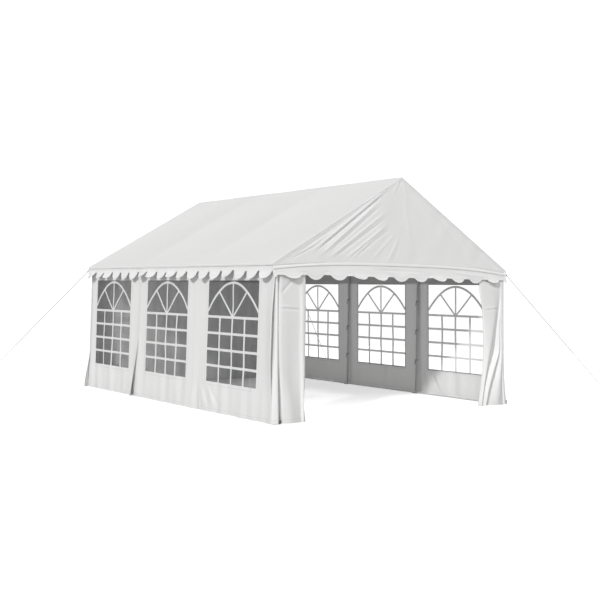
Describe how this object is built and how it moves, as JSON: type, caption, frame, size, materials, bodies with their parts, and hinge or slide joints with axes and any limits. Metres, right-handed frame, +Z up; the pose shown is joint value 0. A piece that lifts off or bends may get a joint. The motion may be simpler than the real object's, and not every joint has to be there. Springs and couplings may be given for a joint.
{
  "type": "event tent",
  "caption": "White gabled event tent on a steel tube frame, with scalloped valances, window walls, a closed back and an open curtained front.",
  "frame": {"origin": "on the ground, under the middle of the tent", "axes": "+X to the right along the front gable, +Y from the open front to the closed back, +Z up"},
  "size_m": [8.4136, 7.9006, 3.6508],
  "materials": {
    "steel": "galvanised, dull grey",
    "roof_cloth": "white coated cloth, faint sheen, creased",
    "wall_cloth": "white coated cloth, matt, creased",
    "window_film": "clear plastic film with white bars, slightly smoky",
    "rope": "white laid rope",
    "peg_iron": "dark iron"
  },
  "bodies": {
    "root": {"left_post_1": "steel", "left_rafter_1": "steel", "left_post_2": "steel", "left_rafter_2": "steel", "left_post_3": "steel", "left_rafter_3": "steel", "left_post_4": "steel", "left_rafter_4": "steel", "left_eave_rail": "steel", "left_ground_rail": "steel", "left_wall_panel_1": "wall_cloth", "left_window_1": "window_film", "left_wall_panel_2": "wall_cloth", "left_window_2": "window_film", "left_wall_panel_3": "wall_cloth", "left_window_3": "window_film", "valance_left": "roof_cloth", "roof_left": "roof_cloth", "back_wall_left": "wall_cloth", "front_curtain_left": "wall_cloth", "right_post_1": "steel", "right_rafter_1": "steel", "right_post_2": "steel", "right_rafter_2": "steel", "right_post_3": "steel", "right_rafter_3": "steel", "right_post_4": "steel", "right_rafter_4": "steel", "right_eave_rail": "steel", "right_ground_rail": "steel", "right_wall_panel_1": "wall_cloth", "right_window_1": "window_film", "right_wall_panel_2": "wall_cloth", "right_window_2": "window_film", "right_wall_panel_3": "wall_cloth", "right_window_3": "window_film", "valance_right": "roof_cloth", "roof_right": "roof_cloth", "back_wall_right": "wall_cloth", "front_curtain_right": "wall_cloth", "ridge_rail": "steel", "back_ground_rail": "steel", "gable_front": "roof_cloth", "valance_front": "roof_cloth", "gable_back": "roof_cloth", "valance_back": "roof_cloth", "guy_rope_front_right": "rope", "peg_front_right": "peg_iron", "guy_rope_back_left": "rope", "peg_back_left": "peg_iron", "guy_rope_back_right": "rope", "peg_back_right": "peg_iron"}
  },
  "joints": []
}
